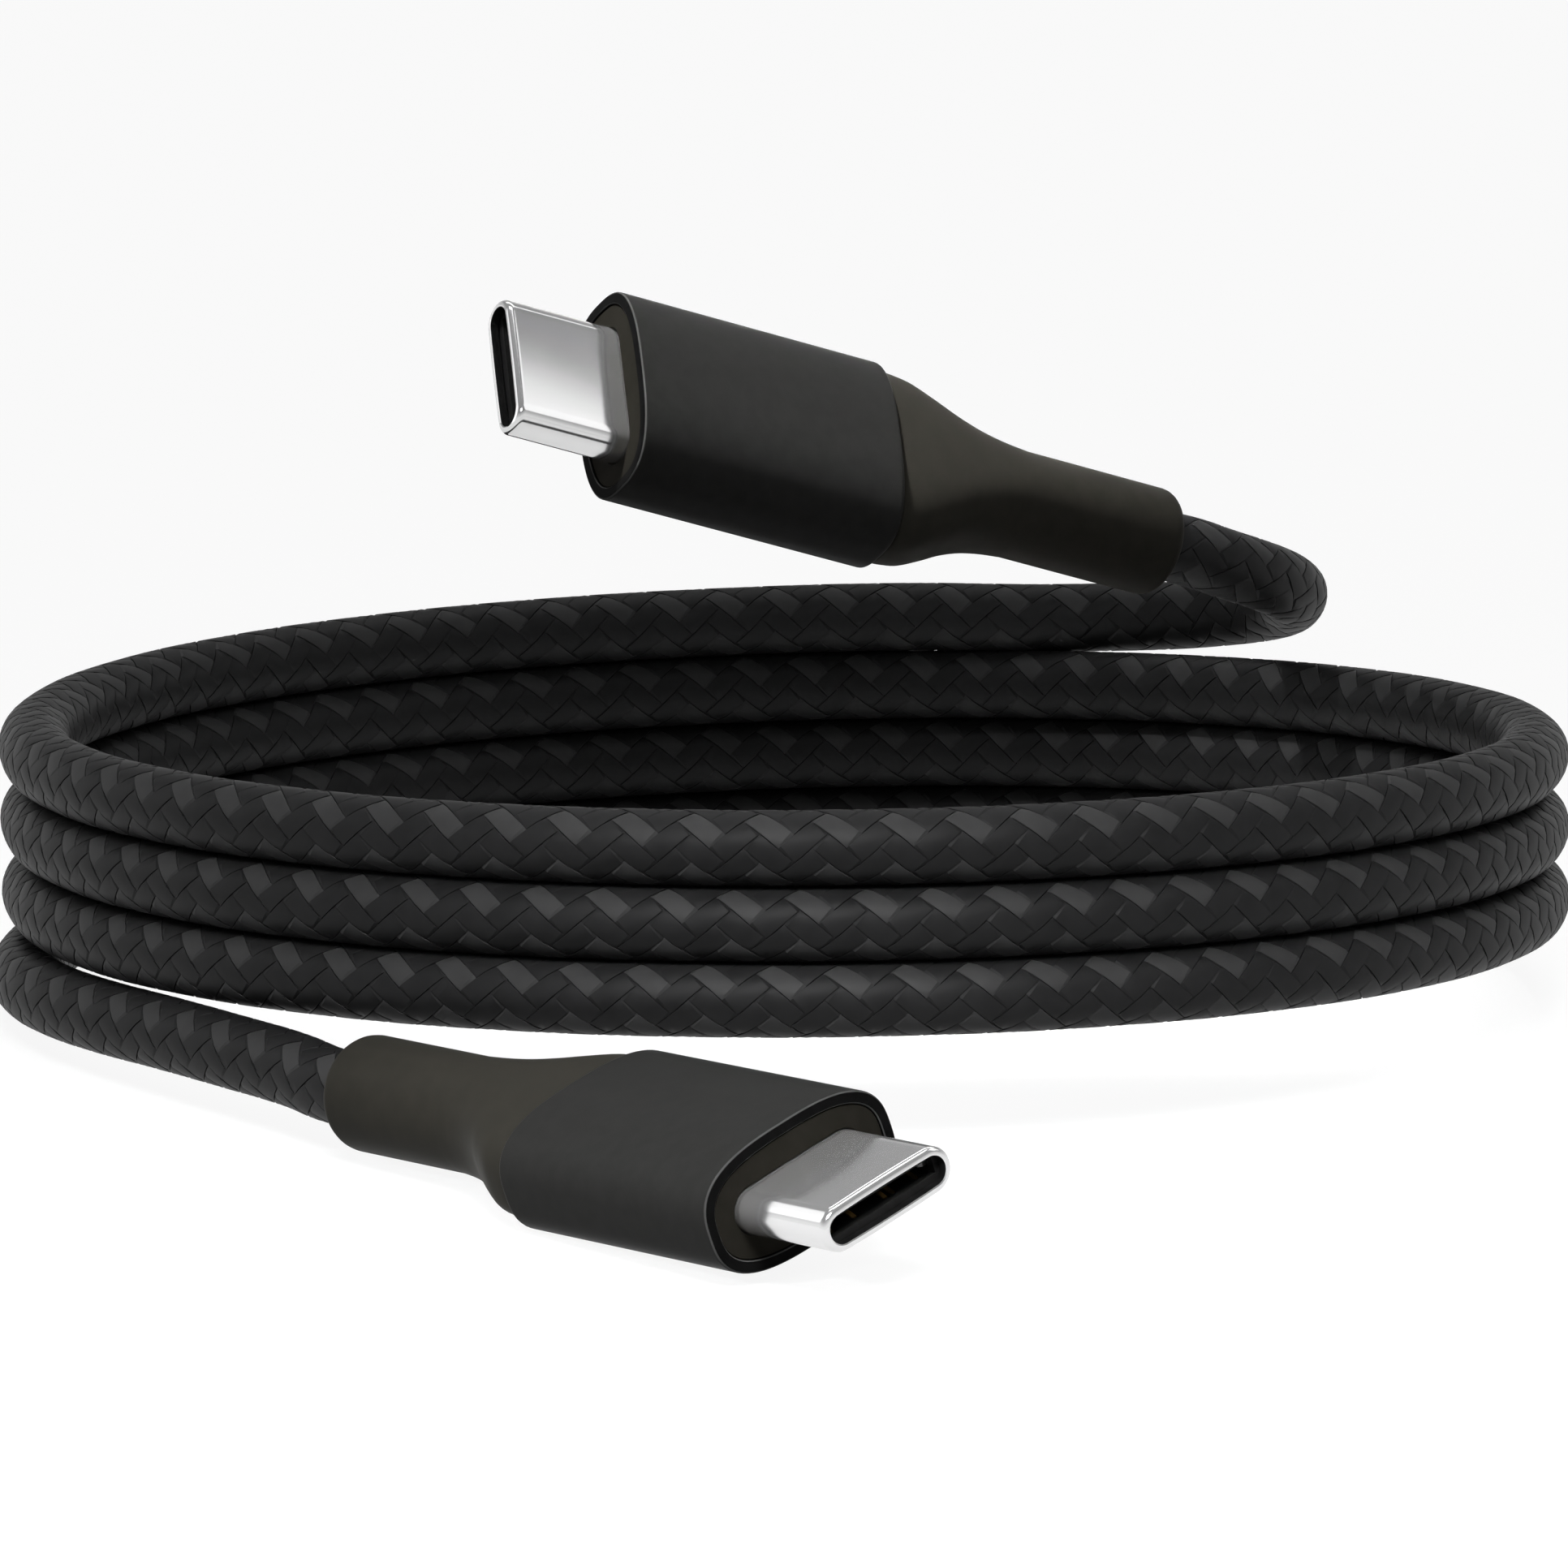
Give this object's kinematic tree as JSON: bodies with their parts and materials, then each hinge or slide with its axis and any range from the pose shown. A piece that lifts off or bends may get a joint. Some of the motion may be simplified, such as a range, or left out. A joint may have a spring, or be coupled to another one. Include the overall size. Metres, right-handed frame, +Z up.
{
  "type": "charging cable",
  "caption": "Coiled charging cable in a dark woven sleeve, with a slim reversible metal-nosed plug, an oval housing and a soft strain relief at each end.",
  "frame": {"origin": "on the surface it lies on, under the middle of the whole part's box", "axes": "+Z up; +Y away from the lower plug, along the part's longest extent; +X to the right as seen from the front"},
  "size_m": [0.0826, 0.117, 0.0371],
  "materials": {
    "woven_sleeve": "woven nylon sleeve in black and dark grey",
    "satin_black": "fine blasted satin black",
    "soft_black": "matte, slightly warm black",
    "bright_steel": "polished bright nickel on steel",
    "black_insulator": "moulded matte black",
    "gold_plate": "gold plate",
    "spring_steel": "stamped bright steel",
    "circuit_board": "green solder mask",
    "chip_black": "moulded black",
    "grey_mould": "moulded grey",
    "red_wire": "extruded red",
    "black_wire": "extruded black",
    "blue_wire": "extruded blue"
  },
  "bodies": {
    "cable_and_plugs": {"cable_coil": "woven_sleeve", "lower_cable_lead": "woven_sleeve", "lower_plug_cable_end": "woven_sleeve", "lower_plug_circuit_board": "circuit_board", "lower_plug_contact_carrier": "black_insulator", "lower_plug_control_wire": "blue_wire", "lower_plug_crimp_ferrule": "spring_steel", "lower_plug_front_bezel": "satin_black", "lower_plug_front_insulator": "black_insulator", "lower_plug_ground_spring_lower": "spring_steel", "lower_plug_ground_spring_upper": "spring_steel", "lower_plug_ground_wire": "black_wire", "lower_plug_housing": "satin_black", "lower_plug_inner_mould": "grey_mould", "lower_plug_metal_shell": "bright_steel", "lower_plug_power_wire": "red_wire", "lower_plug_shield_can": "spring_steel", "lower_plug_strain_relief": "soft_black", "upper_cable_lead": "woven_sleeve", "upper_plug_cable_end": "woven_sleeve", "upper_plug_circuit_board": "circuit_board", "upper_plug_contact_carrier": "black_insulator", "upper_plug_control_wire": "blue_wire", "upper_plug_crimp_ferrule": "spring_steel", "upper_plug_front_bezel": "satin_black", "upper_plug_front_insulator": "black_insulator", "upper_plug_ground_spring_lower": "spring_steel", "upper_plug_ground_spring_upper": "spring_steel", "upper_plug_ground_wire": "black_wire", "upper_plug_housing": "satin_black", "upper_plug_inner_mould": "grey_mould", "upper_plug_marker_chip": "chip_black", "upper_plug_metal_shell": "bright_steel", "upper_plug_power_wire": "red_wire", "upper_plug_shield_can": "spring_steel", "upper_plug_strain_relief": "soft_black"},
    "lower_plug_upper_contacts": {"lower_plug_contact_control_a5": "gold_plate", "lower_plug_contact_ground_a1": "gold_plate", "lower_plug_contact_ground_a12": "gold_plate", "lower_plug_contact_power_a4": "gold_plate", "lower_plug_contact_power_a9": "gold_plate"},
    "lower_plug_lower_contacts": {"lower_plug_contact_control_b5": "gold_plate", "lower_plug_contact_ground_b1": "gold_plate", "lower_plug_contact_ground_b12": "gold_plate", "lower_plug_contact_power_b4": "gold_plate", "lower_plug_contact_power_b9": "gold_plate"},
    "lower_plug_latch_left_arm": {"lower_plug_latch_left": "spring_steel"},
    "lower_plug_latch_right_arm": {"lower_plug_latch_right": "spring_steel"},
    "upper_plug_upper_contacts": {"upper_plug_contact_control_a5": "gold_plate", "upper_plug_contact_ground_a1": "gold_plate", "upper_plug_contact_ground_a12": "gold_plate", "upper_plug_contact_power_a4": "gold_plate", "upper_plug_contact_power_a9": "gold_plate"},
    "upper_plug_lower_contacts": {"upper_plug_contact_control_b5": "gold_plate", "upper_plug_contact_ground_b1": "gold_plate", "upper_plug_contact_ground_b12": "gold_plate", "upper_plug_contact_power_b4": "gold_plate", "upper_plug_contact_power_b9": "gold_plate"},
    "upper_plug_latch_left_arm": {"upper_plug_latch_left": "spring_steel"},
    "upper_plug_latch_right_arm": {"upper_plug_latch_right": "spring_steel"}
  },
  "joints": [
    {"name": "upper_plug_upper_contacts_flex", "type": "hinge", "parent": "cable_and_plugs", "child": "upper_plug_upper_contacts", "pos_m": [-0.00622, 0.02189, 0.03054], "axis": [0.1007, -0.6753, -0.7306], "range_deg": [0, 1], "stiffness_Nm_per_rad": 0.00004},
    {"name": "upper_plug_lower_contacts_flex", "type": "hinge", "parent": "cable_and_plugs", "child": "upper_plug_lower_contacts", "pos_m": [-0.00573, 0.02135, 0.0311], "axis": [-0.1007, 0.6753, 0.7306], "range_deg": [0, 1], "stiffness_Nm_per_rad": 0.00004},
    {"name": "upper_plug_latch_left_flex", "type": "hinge", "parent": "cable_and_plugs", "child": "upper_plug_latch_left_arm", "pos_m": [-0.00981, 0.02209, 0.03459], "axis": [-0.5323, 0.5838, -0.613], "range_deg": [0, 2.6], "stiffness_Nm_per_rad": 0.000004},
    {"name": "upper_plug_latch_right_flex", "type": "hinge", "parent": "cable_and_plugs", "child": "upper_plug_latch_right_arm", "pos_m": [-0.00911, 0.01742, 0.02954], "axis": [0.5323, -0.5838, 0.613], "range_deg": [0, 2.6], "stiffness_Nm_per_rad": 0.000004},
    {"name": "lower_plug_upper_contacts_flex", "type": "hinge", "parent": "cable_and_plugs", "child": "lower_plug_upper_contacts", "pos_m": [-0.00155, -0.04815, 0.00499], "axis": [-0.7319, -0.5886, -0.3434], "range_deg": [0, 1], "stiffness_Nm_per_rad": 0.00004},
    {"name": "lower_plug_lower_contacts_flex", "type": "hinge", "parent": "cable_and_plugs", "child": "lower_plug_lower_contacts", "pos_m": [-0.00128, -0.04798, 0.00413], "axis": [0.7319, 0.5886, 0.3434], "range_deg": [0, 1], "stiffness_Nm_per_rad": 0.00004},
    {"name": "lower_plug_latch_left_flex", "type": "hinge", "parent": "cable_and_plugs", "child": "lower_plug_latch_left_arm", "pos_m": [0.00367, -0.0493, 0.00591], "axis": [-0.293, -0.1832, 0.9384], "range_deg": [0, 2.6], "stiffness_Nm_per_rad": 0.000004},
    {"name": "lower_plug_latch_right_flex", "type": "hinge", "parent": "cable_and_plugs", "child": "lower_plug_latch_right_arm", "pos_m": [-0.00139, -0.05337, 0.00353], "axis": [0.293, 0.1832, -0.9384], "range_deg": [0, 2.6], "stiffness_Nm_per_rad": 0.000004}
  ],
  "couplings": [
    {"joint": "upper_plug_lower_contacts_flex", "follows": "upper_plug_upper_contacts_flex", "ratio": 1},
    {"joint": "upper_plug_latch_left_flex", "follows": "upper_plug_upper_contacts_flex", "ratio": 2.6},
    {"joint": "upper_plug_latch_right_flex", "follows": "upper_plug_upper_contacts_flex", "ratio": 2.6},
    {"joint": "lower_plug_lower_contacts_flex", "follows": "lower_plug_upper_contacts_flex", "ratio": 1},
    {"joint": "lower_plug_latch_left_flex", "follows": "lower_plug_upper_contacts_flex", "ratio": 2.6},
    {"joint": "lower_plug_latch_right_flex", "follows": "lower_plug_upper_contacts_flex", "ratio": 2.6}
  ]
}
